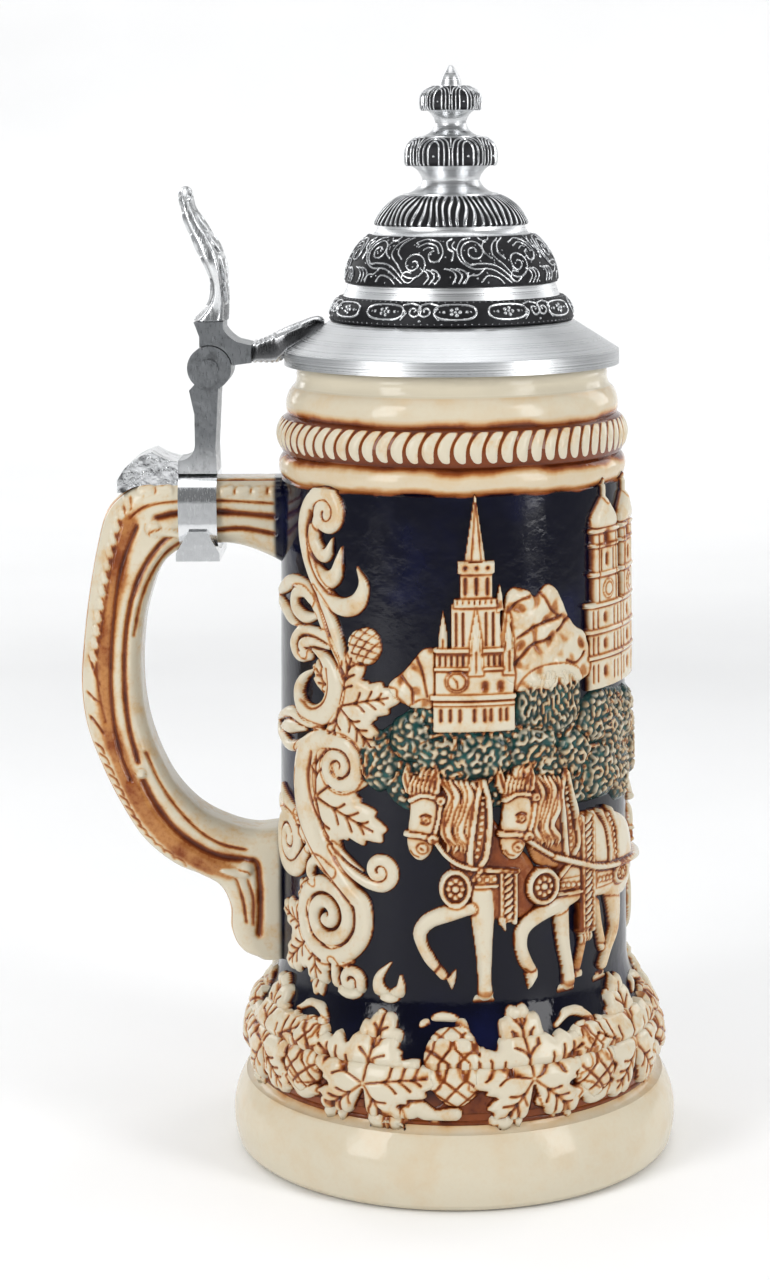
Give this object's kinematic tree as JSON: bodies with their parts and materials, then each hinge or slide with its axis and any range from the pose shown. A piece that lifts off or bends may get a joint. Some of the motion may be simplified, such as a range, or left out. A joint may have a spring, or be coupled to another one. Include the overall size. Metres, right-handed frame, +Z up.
{
  "type": "beer stein",
  "caption": "Tall cylindrical stoneware drinking vessel with a side handle, flared foot and hinged domed pewter lid with thumblift and finial.",
  "frame": {"origin": "centre of the standing circle on the table, on the axis of the vessel", "axes": "+Z up along the vessel's axis; the handle and hinge point to -X; the hinge pin is parallel to Y"},
  "size_m": [0.1637, 0.124, 0.2963],
  "materials": {
    "glazed_stoneware": "glossy clear glaze over cream clay, cobalt ground and brown stain",
    "glazed_handle": "glossy clear glaze over cream clay with brown stain in the flutes",
    "bright_pewter": "turned and polished pewter",
    "patinated_pewter": "dark patina with bright rubbed relief",
    "pin_metal": "plain drawn wire",
    "stud_metal": "plain turned"
  },
  "bodies": {
    "vessel": {"stoneware_body": "glazed_stoneware", "handle": "glazed_handle", "strap_band": "bright_pewter", "strap_buckle": "bright_pewter", "tang_leaf": "patinated_pewter", "hinge_post": "bright_pewter", "hinge_pin": "pin_metal", "pin_cap_front": "bright_pewter", "pin_cap_back": "bright_pewter"},
    "lid": {"lid_shank": "bright_pewter", "lid_mount_leaf": "patinated_pewter", "thumblift": "patinated_pewter", "lid_brim": "bright_pewter", "lid_locating_ring": "bright_pewter", "lid_lower_band": "patinated_pewter", "lid_lower_ring": "bright_pewter", "lid_middle_dome": "patinated_pewter", "lid_middle_ring": "bright_pewter", "lid_fluted_dome": "patinated_pewter", "finial_lower_neck": "bright_pewter", "finial_lower_knop": "patinated_pewter", "finial_upper_neck": "bright_pewter", "finial_upper_knop": "patinated_pewter", "finial_tip": "bright_pewter", "finial_stud": "stud_metal", "finial_nut": "stud_metal"}
  },
  "joints": [
    {"name": "lid_hinge", "type": "hinge", "parent": "vessel", "child": "lid", "pos_m": [-0.0648, 0, 0.2173], "axis": [0, -1, 0], "range_deg": [0, 105]}
  ]
}
